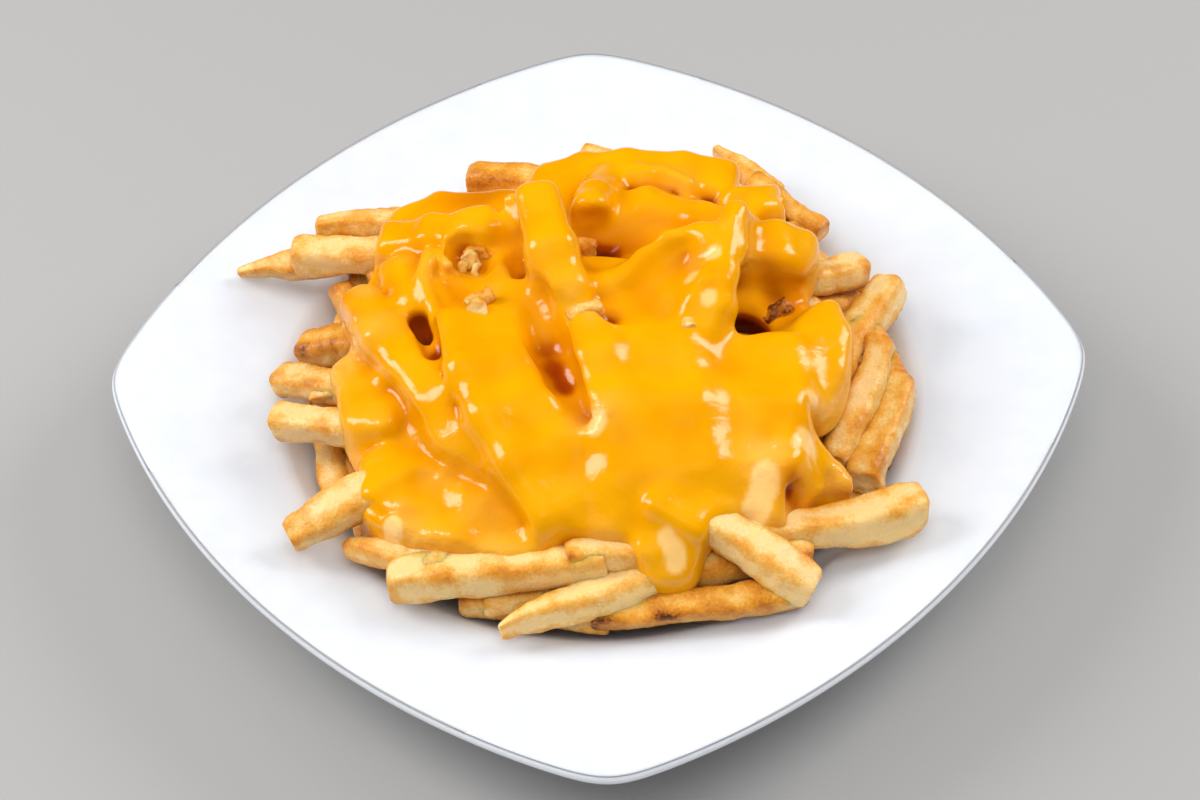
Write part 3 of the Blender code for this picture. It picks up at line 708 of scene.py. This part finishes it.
# Forms that the sauce takes over single fries and folds: a line along the top, width, height, roll in
# degrees, rounding of the edges and how softly the form joins the rest.
coatedFries = (
    (((-66.5, 5, 63), (-58, -9, 65), (-51, -20, 64), (-44, -32, 62.5), (-38, -43, 58), (-35, -49, 53)),
     14, 13, 0, 4.6, 2.5),
    (((-32, -9, 69.5), (-29, -25, 69), (-23, -38, 66.5), (-16, -50, 62.5), (-9, -62, 56), (-5, -69, 49)),
     27, 13, -8, 5, 4.5),
    (((-3, -17, 72.5), (-1, -26, 71.8), (3, -38, 69), (6, -48, 63)), 14, 13, 6, 4, 4),
    (((12, -22, 70), (14, -41, 66.2), (16, -56, 60), (16, -68, 51)), 34, 13, 2, 6, 7),
    (((40, -20, 64), (39, -37, 61.5), (36, -52, 56), (33, -64, 49)), 36, 13, 12, 6, 9),
    (((-16, 23, 85), (-12, 6, 82), (-9.5, -4, 77.5), (-8, -12, 70)), 14, 13, 0, 4.6, 4),
    (((-6, -4, 71), (2, -1, 71), (9, 1, 73.5), (14.5, 5, 76), (21, 9, 78.5), (30, 11, 80)),
     5.5, 13, 0, 2.4, 3),
    (((39.5, 17, 82), (36.5, 7.5, 80), (35.5, -2.5, 78), (34, -11, 74.5), (29.5, -19, 68.5)),
     8, 11, 18, 3.2, 2.5),
    (((30.5, 9, 80), (28, -1, 77.5), (25.5, -9, 74.5), (23.5, -16, 70)), 5, 10, -15, 2.2, 4),
    (((33, 8, 79), (30.5, -3, 76.5), (27, -14, 71)), 11, 12, 0, 4, 4),
    (((19, 4, 73), (22, -6, 71)), 12, 10, 0, 4, 6),
    (((12, 48, 68), (20, 46, 69), (28, 41, 69.5)), 3.5, 8, 0, 1.5, 2),
    (((38, 13, 83), (36.5, 4, 80.5), (35, -5, 77), (32, -14, 73)), 3, 7, 0, 1.4, 1.2),
    (((34, 7, 80), (31, -3, 77), (27, -14, 72)), 3, 7, 0, 1.4, 1.2),
    (((40.5, 14, 80.5), (40, 5, 78.5), (38.5, -4, 75)), 3, 7, 0, 1.4, 1.2),
    (((-13, 50, 63), (-2, 51, 65.5), (10, 51, 66.5), (26, 50, 66), (38, 48, 65)), 18, 14, 0, 4.4, 3),
    (((6, 33, 68), (16, 33, 70), (30, 29, 70), (43, 23, 68)), 12, 13, 0, 3.4, 5),
    (((4, 46, 68), (0.5, 34, 74), (-0.5, 27, 76.5)), 12.5, 13, 0, 5.8, 2),
    (((41, 35, 68), (57, 42, 62)), 13.5, 13, 0, 4.2, 2.5),
    (((-63, 29, 58), (-57, 29, 63), (-45, 26, 68), (-34, 24, 71.5), (-21, 28, 75)), 12, 14, 0, 2.8, 4),
    (((-58, 46, 52), (-45, 47, 57), (-27, 42, 61), (-18, 40, 62)), 15, 12, 0, 4, 3),
    (((-46, 41, 63.5), (-33, 37, 68), (-21, 34, 72)), 3, 7, 0, 1.4, 1.5),
    (((41, 11, 74.2), (50, 13, 72.5), (61, 15, 66)), 17, 14, 12, 4.6, 3.5),
    (((47, 8, 69.5), (54, 9, 67.5), (60, 9, 64)), 8, 11, 10, 3.4, 3),
    (((61.5, -4, 62.5), (63, -12, 61.5), (61, -23, 59.5), (56, -34, 57)), 16, 12, 0, 5, 7),
    (((-52, 18, 63.5), (-46, 4, 65.5), (-42, -6, 64)), 20, 12, 0, 4, 3),
    (((-46, 16, 69), (-48, 6, 68.5), (-45, -3, 67.5), (-43, -11, 66)), 4.5, 9, 0, 2, 1.6),
    (((-55, 16, 65), (-53, 6, 65), (-56, -1, 62)), 4, 8, 0, 1.8, 2),
    (((-40, 20, 71), (-41, 12, 70.5), (-40, 5, 69)), 4, 8, 0, 1.8, 1.6),
    (((-70, -13, 54), (-66, -24, 54), (-62, -34, 53)), 14, 10, 0, 4, 4),
    (((-64, -52, 48.5), (-52, -60, 50), (-36, -66, 50), (-20, -72, 46)), 22, 10, 0, 5, 4),
    (((44, -45, 59), (44, -54, 56.5), (42, -64, 51)), 9, 11, 0, 3, 3),
    (((-45, -20, 63.2), (-39, -33, 62.4), (-33, -46, 58.5)), 13, 10, 0, 4.6, 5),
    (((-51, -44.5, 56.2), (-42, -52, 56.8), (-35, -59, 55.6)), 3.2, 7, 0, 1.5, 1.6),
    (((55, -43, 56), (64, -51, 49)), 11, 10, 0, 3.4, 4),
    (((17.5, -62, 55), (17.5, -72, 50), (17.3, -78.5, 45.5)), 16, 12, 0, 5, 4),
)

# Hollows in the sauce: both ends of a ball's path, its radius and how softly it joins.
sauceHollows = (
    ((-17.5, -8, 73.5), (-13.5, -20, 68.5), 5.4, 3),
    ((-13.5, -20, 67.4), (-9.5, -31, 66), 4.6, 4),
    ((-9.5, -31, 66.4), (-4, -45, 65), 3.2, 3),
    ((-25, 25, 76), (-20.5, 11, 71), 5.4, 3),
    ((-21, 13, 68), (-19.5, 7, 66.5), 3.6, 2),
    ((-1, 18, 69.5), (11, 17, 72), 7.4, 3),
    ((-1, 18, 66), (3, 16, 65.5), 4, 2),
    ((14, -9, 78), (20, -1, 80), 8.5, 4),
    ((44.5, -2, 70), (40, -12, 58), 6.2, 2.5),
    ((42, -9, 58), (39, -12, 48), 5.6, 2),
    ((45, -9, 62), (53, -2, 62), 4.6, 3),
    ((53, -2, 62), (62, 4, 60), 3.6, 3),
    ((-50, 38, 60), (-28, 32, 66), 5.4, 4),
    ((-45.5, -13, 65), (-44, -19, 63.5), 2.8, 2),
    ((-44, -19, 65.6), (-40.5, -30, 65), 1.1, 1.6),
    ((-40.5, -30, 65), (-37, -42, 62.2), 0.9, 1.6),
    ((22, 38, 72), (42, 33, 68), 4, 4),
    ((-49, -6, 61.5), (-47, -11, 58.5), 2.9, 2),
    ((-36.5, 15, 68.5), (-33, 12, 68.5), 5.2, 2),
    ((-39, 5, 67), (-37, 1, 67), 3.2, 2),
    ((5, -12, 75), (3.5, -13.5, 70), 2.8, 2),
    ((-51, -44, 55), (-33, -58, 55), 2.6, 4),
    ((-29, -60, 55.5), (-21, -70, 52), 1.7, 3),
    ((-57, -27, 60), (-50, -39, 58.5), 2, 3),
    ((49, -61, 52.5), (51, -65, 49), 2.4, 2),
    ((-62, -58, 48), (-58, -62.5, 49), 1.3, 1),
    ((-58, -62.5, 49), (-45.5, -65.3, 50.5), 1.2, 1),
    ((-45.5, -65.3, 50.5), (-39, -62.4, 51.5), 1.2, 1),
)

# Places where the coat is so thin that the fry's pale crust shows through it, some of them painted
# highlights as well: x, y, reach and strength.
thinSpots = (
    (42.5, -61.5, 4.4, 1), (40, -67, 3.8, 1), (54, -51, 3.5, 1), (18, -79, 3.4, 1), (16, -75, 2.4, 1),
    (-55, -67, 3, 1), (-1, -48, 3, 1), (30, -12, 2.5, 1), (32, 1, 2.5, 1), (25.5, -4, 2, 1), (56, -38, 2, 1),
)

# Places where shade is painted into the sauce as a deeper orange, in the same order of values.
paintedShadeSpots = (
    (-40, 47, 9, 0.24), (-30, 45, 8, 0.24), (-20, 44, 6, 0.2), (2, 18, 7, 0.26), (9, 17, 7, 0.22),
    (16, 21, 8, 0.16), (27, 24, 7, 0.12), (47, 4, 5, 0.26), (51, -1, 5, 0.28), (57, 3, 4, 0.22),
    (50, -62, 4, 0.4), (-12, -26, 5, 0.5), (-9, -33, 4, 0.35), (-66, -4, 4, 0.2), (-70, 4, 4, 0.2),
)

# Places where bits of crust roughen and crumple the sauce.
roughSpots = (
    (-34, 8, 9, 0.6), (-48, 6, 9, 0.7), (-2, -46, 5, 1), (-24, 2, 8, 0.6), (33, -2, 10, 1),
    (44, -55, 7, 1), (-66, 4, 5, 0.6), (-67, -10, 8, 1), (-60, -46, 9, 0.9), (-52, -66, 9, 0.8),
    (24, 40, 6, 0.8), (-4, -12, 5, 0.7), (-46, -52, 7, 0.6), (-30, -70, 8, 0.5), (52, -58, 7, 0.9),
    (38, 14, 6, 0.6), (22, -18, 5, 0.7), (60, -50, 7, 0.5), (-38, -34, 4, 0.6),
)


# Union of two forms with a fillet: the smaller distance, less a parabola where the two are close.
def softMin(a, b, blend):
    mix = np.clip(0.5 + 0.5 * (b - a) / blend, 0, 1)
    return b * (1 - mix) + a * mix - blend * mix * (1 - mix)


def softMax(a, b, blend):
    return -softMin(-a, -b, blend)


# Distance to a bar with rounded edges and ends: how far a point lies past the axis's ends and past each
# half size, joined as a length.
def barDistance(points, start, end, wide, high, roll, soft):
    start, end = np.array(start, float), np.array(end, float)
    length = np.linalg.norm(end - start)
    along = (end - start) / length
    side = np.cross([0, 0, 1.0], along)
    side /= np.linalg.norm(side)
    up = np.cross(along, side)
    turn = math.radians(roll)
    side, up = side * math.cos(turn) + up * math.sin(turn), up * math.cos(turn) - side * math.sin(turn)
    local = points - (start + end) / 2
    past = [np.abs(local @ axis) - half + soft
            for axis, half in ((along, length / 2 + soft), (side, wide / 2), (up, high / 2))]
    outside = np.sqrt(sum(np.maximum(p, 0) ** 2 for p in past))
    return outside + np.minimum(np.maximum(np.maximum(past[0], past[1]), past[2]), 0) - soft


# Closed Catmull-Rom curve through the corners.
def roundedOutline(corners, steps):
    p = np.array(corners, float)
    t = (np.arange(steps) / steps)[:, None, None]
    before, after, later = np.roll(p, 1, 0), np.roll(p, -1, 0), np.roll(p, -2, 0)
    curve = 0.5 * (2 * p + (after - before) * t + (2 * before - 5 * p + 4 * after - later) * t ** 2
                   + (3 * p - before - 3 * after + later) * t ** 3)
    return curve.transpose(1, 0, 2).reshape(-1, 2)


# Distance in plan to a closed outline, negative inside: nearest segment, signed by crossings.
def outlineDistance(xy, outline):
    a, b = outline, np.roll(outline, -1, 0)
    best = np.full(len(xy), 1e9)
    inside = np.zeros(len(xy), bool)
    for one, two in zip(a, b):
        run = two - one
        t = np.clip(((xy - one) @ run) / (run @ run), 0, 1)
        best = np.minimum(best, ((xy - one - t[:, None] * run) ** 2).sum(axis=1))
        crosses = (one[1] > xy[:, 1]) != (two[1] > xy[:, 1])
        if run[1] != 0:
            inside ^= crosses & (xy[:, 0] < one[0] + (xy[:, 1] - one[1]) * run[0] / run[1])
    return np.sqrt(best) * np.where(inside, -1, 1)


# Every bar under the sauce: the placed ones, the shown fries' hidden stretches and small random ones.
def sauceForms():
    forms = []
    for line, wide, high, roll, soft, blend in coatedFries:
        middle = np.array(line, float) - (0, 0, high / 2)
        forms += [(one, two, wide, high, roll, soft, blend) for one, two in zip(middle[:-1], middle[1:])]
    for start, heading, climb, length, thick in (fry[:5] for fry in runIn):
        along = fryAxes(heading, climb)[0]
        near, far = np.array(start) + along * 4, np.array(start) + along * (length + 1)
        size = thick + 2 * sauce["coat"]
        forms.append((near, far, size, size, 0, 3.4, 2.5))
    draw = np.random.default_rng(sauce["seed"])
    for k in range(sauce["hiddenFries"]):
        bearing = sauce["hiddenStep"] * k
        r = sauce["hiddenReach"] * math.sqrt((k + 0.5) / sauce["hiddenFries"])
        middle = np.array([r * math.cos(bearing), r * math.sin(bearing)])
        turn = draw.uniform(0, math.pi)
        half = draw.uniform(*sauce["hiddenHalf"]) * np.array([math.cos(turn), math.sin(turn)])
        drop = draw.uniform(*sauce["hiddenDrop"])
        ends = [(*place, moundHeight(*place) - drop) for place in (middle - half, middle + half)]
        forms.append((*ends, sauce["hiddenWidth"], sauce["hiddenWidth"], 0, 3.6, 4.5))
    return forms


# Sum of bells round spots: strength times exp(-q), with q = (distance / reach) squared, to a power.
def bells(points, spots, power=1.0):
    x, y = points[:, 0], points[:, 1]
    return sum(strength * np.exp(-(((x - across) ** 2 + (y - along) ** 2) / reach ** 2) ** power)
               for across, along, reach, strength in spots)


# How strongly a place is crumpled, from 0 to 1.
def crumpled(points):
    return np.clip(bells(points, roughSpots), 0, 1)


# Signed distance-like field of the sauce, negative inside: a blanket on the heap's skin, joined softly to
# each coated fry, less the hollows, ended at the outline with a rounded lip.
def sauceDistance(points, edge, forms):
    x, y, z = points[:, 0], points[:, 1], points[:, 2]
    skin = moundHeight(x, y)
    body = (z - skin + sauce["sink"]) * 0.85
    for start, end, wide, high, roll, soft, blend in forms:
        margin = max(wide, high) / 2 + blend + 2
        lowest, highest = np.minimum(start, end) - margin, np.maximum(start, end) + margin
        near = np.nonzero(((points > lowest) & (points < highest)).all(axis=1))[0]
        bar = barDistance(points[near], start, end, wide, high, roll, soft)
        body[near] = softMin(body[near], bar, blend)
    for start, end, radius, blend in sauceHollows:
        run = np.subtract(end, start)
        share = np.clip((points - start) @ run / (run @ run), 0, 1)
        reach = np.linalg.norm(points - start - share[:, None] * run, axis=1)
        body = softMax(body, radius - reach, blend)
    body = body + 0.35 * lumps(points, 17, 11) + 0.3 * lumps(points, 7, 12) + 0.1 * lumps(points, 3.5, 13)
    body = body + crumpled(points) * (1.5 * np.abs(lumps(points, 6, 21)) - 0.5)
    body = softMax(body, edge, sauce["lip"])
    depth = sauce["depth"] + sauce["fill"] * ease(0, 14, -edge)
    return softMax(body, (skin - depth - z) * 0.85, 1.6)


# Surface nets: a point in each lattice cell that the surface crosses, at the mean of its edge crossings,
# and a quad across each lattice edge that it crosses.
def netFaces(field):
    size = np.array(field.shape)
    total = np.zeros((*(size - 1), 3))
    hits = np.zeros(size - 1)
    crossings = []
    for axis in range(3):
        one, two = [slice(None)] * 3, [slice(None)] * 3
        one[axis], two[axis] = slice(None, -1), slice(1, None)
        f0, f1 = field[tuple(one)], field[tuple(two)]
        crossing = (f0 < 0) != (f1 < 0)
        share = np.where(crossing, f0 / np.where(crossing, f0 - f1, 1), 0)
        crossings.append((crossing, f0 < 0))
        b, c = (axis + 1) % 3, (axis + 2) % 3
        for db, dc in np.ndindex(2, 2):
            pick = [slice(None)] * 3
            pick[b] = slice(db, db + size[b] - 1)
            pick[c] = slice(dc, dc + size[c] - 1)
            hit = crossing[tuple(pick)]
            total[..., axis] += share[tuple(pick)] * hit
            total[..., b] += db * hit
            total[..., c] += dc * hit
            hits += hit
    active = hits > 0
    index = np.full(active.shape, -1)
    index[active] = np.arange(active.sum())
    cells = np.argwhere(active) + total[active] / hits[active][:, None]
    quads = []
    for axis, (crossing, inside) in enumerate(crossings):
        b, c = (axis + 1) % 3, (axis + 2) % 3
        place = np.argwhere(crossing)
        place = place[(place[:, b] > 0) & (place[:, c] > 0) & (place[:, b] < size[b] - 1)
                      & (place[:, c] < size[c] - 1)]
        stepB, stepC = np.eye(3, dtype=int)[b], np.eye(3, dtype=int)[c]
        around = [place - stepB - stepC, place - stepC, place, place - stepB]
        quad = np.stack([index[tuple(p.T)] for p in around], axis=1)
        outward = inside[tuple(place.T)]
        quads.append(np.where(outward[:, None], quad, quad[:, ::-1]))
    return cells, np.concatenate(quads)


# The field with its outer cells repeated before and after it along one axis.
def padded(field, axis, before, after):
    return np.pad(field, [(before, after) if axis == n else (0, 0) for n in range(3)], mode="edge")


# Gaussian average of the field along each axis: weights exp(-(k / spread) squared / 2).
def blurred(field, spread):
    k = np.arange(-3, 4)
    weights = np.exp(-(k / spread) ** 2 / 2)
    weights /= weights.sum()
    for axis in range(3):
        wider = padded(field, axis, 3, 3)
        field = sum(weight * np.take(wider, np.arange(shift, shift + field.shape[axis]), axis)
                    for shift, weight in enumerate(weights))
    return field


# Mean of the field over a cube that reaches so many cells each way, from running sums.
def boxed(field, reach):
    wide = 2 * reach + 1
    for axis in range(3):
        total = np.cumsum(padded(field, axis, reach + 1, reach), axis)
        field = (np.take(total, np.arange(wide, total.shape[axis]), axis)
                 - np.take(total, np.arange(total.shape[axis] - wide), axis)) / wide
    return field


# Value of the field between lattice points, blended from the eight corners round each place.
def sampled(field, cells):
    cells = np.clip(cells, 0, np.array(field.shape) - 1.001)
    corner = cells.astype(int)
    share = cells - corner
    total = np.zeros(len(cells))
    for step in np.ndindex(2, 2, 2):
        weight = np.prod(np.where(step, share, 1 - share), axis=1)
        total += field[tuple((corner + step).T)] * weight
    return total


# Newton steps down the field's slope: each point moves by -f g / |g| squared, at most half a cell.
def settled(field, cells, rounds):
    for _ in range(rounds):
        value = sampled(field, cells)
        slope = np.stack([sampled(field, cells + 0.5 * axis) - sampled(field, cells - 0.5 * axis)
                          for axis in np.eye(3)], axis=1)
        move = -value / np.maximum((slope ** 2).sum(axis=1), 0.05)
        move = move[:, None] * slope
        length = np.linalg.norm(move, axis=1)[:, None]
        cells = cells + move * np.minimum(1, 0.5 / np.maximum(length, 1e-9))
    return cells


# Moves each point half way to the mean of its neighbours.
def evened(skin, quads, rounds):
    one = quads.ravel()
    two = np.roll(quads, -1, axis=1).ravel()
    count = np.bincount(one, minlength=len(skin)) + np.bincount(two, minlength=len(skin))
    for _ in range(rounds):
        total = np.stack([np.bincount(one, part[two], len(skin)) + np.bincount(two, part[one], len(skin))
                          for part in skin.T], axis=1)
        skin = (skin + total / count[:, None]) / 2
    return skin


# Unit normals of the points: sums of the faces' cross products.
def outwardOf(skin, quads):
    face = np.cross(skin[quads[:, 2]] - skin[quads[:, 0]], skin[quads[:, 3]] - skin[quads[:, 1]])
    total = np.stack([np.bincount(quads.ravel(), np.repeat(part, 4), len(skin)) for part in face.T], axis=1)
    return total / np.maximum(np.linalg.norm(total, axis=1), 1e-9)[:, None]


# Works the sauce out on its lattice, takes the surface from it and marks thin and rough places, painted
# highlights, and painted shade in bends, valleys and listed spots.
def buildSauce():
    cell = sauce["cell"]
    low = np.array([side[0] for side in sauce["box"]])
    axes = [np.arange(*side, cell) for side in sauce["box"]]
    gridX, gridY = np.meshgrid(axes[0], axes[1], indexing="ij")
    plan = np.stack([gridX.ravel(), gridY.ravel()], axis=1)
    outline = roundedOutline(sauceOutline, 4)
    edgePlan = outlineDistance(plan, outline).reshape(gridX.shape)
    shape = tuple(len(axis) for axis in axes)
    points = np.stack(np.meshgrid(*axes, indexing="ij"), axis=-1).reshape(-1, 3)
    edge = np.repeat(edgePlan[:, :, None], shape[2], axis=2).ravel()
    rise = points[:, 2] - moundHeight(points[:, 0], points[:, 1])
    near = (edge < 5) & (rise > -sauce["depth"] - sauce["fill"] - 3) & (rise < 24)
    field = np.full(len(points), 4.0)
    field[near] = np.clip(sauceDistance(points[near], edge[near], sauceForms()), -5, 5)
    full = ((field < 0) | ((rise < -sauce["depth"]) & (edge < 0))).reshape(shape).astype(float)
    field = blurred(field.reshape(shape), sauce["melt"] / cell)
    cells, quads = netFaces(field)
    # how full of sauce and fries the surroundings are, which is high in bends and gaps, where shade is
    # painted
    nearReach, farReach = sauce["crowd"]
    crowd = boxed(boxed(full, nearReach), nearReach)
    near = evened(sampled(crowd, cells)[:, None], quads, 4)[:, 0]
    far = sampled(boxed(crowd, farReach), cells)
    cells = evened(settled(field, cells, 2), quads, 1)
    skin = low + settled(field, cells, 1) * cell
    # bits of crust in the sauce, mostly at its edge
    edgeHere = outlineDistance(skin[:, :2], outline)
    rough = np.clip(crumpled(skin) + 0.35 * ease(-5, -1, edgeHere), 0, 1)
    rough = rough * ease(-0.2, 0.5, lumps(skin, 9, 15))
    skin = skin + outwardOf(skin, quads) * (rough * (0.8 * lumps(skin, 2.2, 16) + 0.2))[:, None]
    obj = makeMesh("cheese_sauce_poured", skin, quads)
    # pale where the coat is thin, with painted highlights at some of the listed spots
    thinAndHighlightPatches = ease(0.3, 0.7, bells(skin, thinSpots, 1.5) + 0.25 * lumps(skin, 4.0, 17))
    thin = 0.85 * thinAndHighlightPatches + 0.3 * rough
    thin = thin + 0.2 * ease(-3.0, 0.5, edgeHere) * ease(0.2, 0.8, lumps(skin, 12, 14))
    addTrait(obj, "thinness", np.clip(thin, 0, 1))
    addTrait(obj, "rough", rough)
    # painted shade in bends, in broad valleys and at the listed spots
    valleyPaintedShade = np.maximum(0.18 * ease(0.48, 0.62, far), bells(skin, paintedShadeSpots))
    addTrait(obj, "paintedShade", np.clip(ease(0.56, 0.9, near) + valleyPaintedShade, 0, 1))
    obj.data.materials.append(cheese)
    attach(obj, "root")
    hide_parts("cheese_sauce")
    print("sauce made:", len(quads), "quads")


buildSauce()


# Floor, lights and camera

studio = {
    "world": "#E9EEF6",
    "worldStrength": 0.36,
    "floor": "#A8A6A4",
}


# A plain square, level with the plate's foot.
def buildFloor():
    half = 2500.0
    points = np.array([(-half, -half, -0.2), (half, -half, -0.2), (half, half, -0.2), (-half, half, -0.2)])
    floor = makeMesh("floor", points, np.array([[0, 1, 2, 3]]))
    material, tree, shader = newMaterial("pale floor")
    setNode(tree, shader, {"Base Color": hexLinear(studio["floor"]), "Roughness": 0.9}, {})
    floor.data.materials.append(material)


# An area light at a place in millimetres, aimed at the heap, which glossy skins mirror or don't.
def addLamp(name, place, size, power, mirrored):
    data = bpy.data.lights.new(name, "AREA")
    data.shape = "ELLIPSE"
    data.size, data.size_y = size[0] * mm, size[1] * mm
    data.energy = power
    lamp = bpy.data.objects.new(name, data)
    bpy.context.scene.collection.objects.link(lamp)
    lamp.location = Vector(place) * mm
    lamp.rotation_euler = (Vector((0, 0, 0.05)) - lamp.location).to_track_quat("-Z", "Y").to_euler()
    lamp.visible_glossy = mirrored


def setWorld():
    world = bpy.data.worlds.new("studio")
    world.use_nodes = True
    tree = world.node_tree
    setNode(tree, tree.nodes["Background"], {0: hexLinear(studio["world"]), 1: studio["worldStrength"]}, {})
    bpy.context.scene.world = world
    world.cycles_visibility.glossy = False


view = {
    "lens": 64.5,
    "sensor": 36.0,
    "place": (0.2, -417.13, 484.05),
    "lookDown": 47.97,  # degrees below level
    "roll": -1.62,
}


def addCamera():
    data = bpy.data.cameras.new("camera")
    data.lens = view["lens"]
    data.sensor_width = view["sensor"]
    data.clip_start = 0.01
    camera = bpy.data.objects.new("camera", data)
    bpy.context.scene.collection.objects.link(camera)
    down, roll = math.radians(view["lookDown"]), math.radians(view["roll"])
    back = Vector((0, -math.cos(down), math.sin(down)))
    right = Vector((1, 0, 0))
    up = back.cross(right)
    across = right * math.cos(roll) + up * math.sin(roll)
    upright = up * math.cos(roll) - right * math.sin(roll)
    turn = Matrix((across, upright, back)).transposed().to_4x4()
    camera.matrix_world = Matrix.Translation(Vector(view["place"]) * mm) @ turn
    bpy.context.scene.camera = camera


buildFloor()
setWorld()
addLamp("left softbox", (-900, 150, 750), (480, 820), 8.8, True)
addLamp("right softbox", (850, 350, 750), (420, 700), 6.6, True)
addLamp("top fill", (0, 150, 1250), (900, 700), 2.2, False)
addLamp("front fill", (0, -560, 1100), (900, 600), 6.6, False)
addCamera()
bpy.context.scene.view_settings.view_transform = "Standard"
print("studio set")
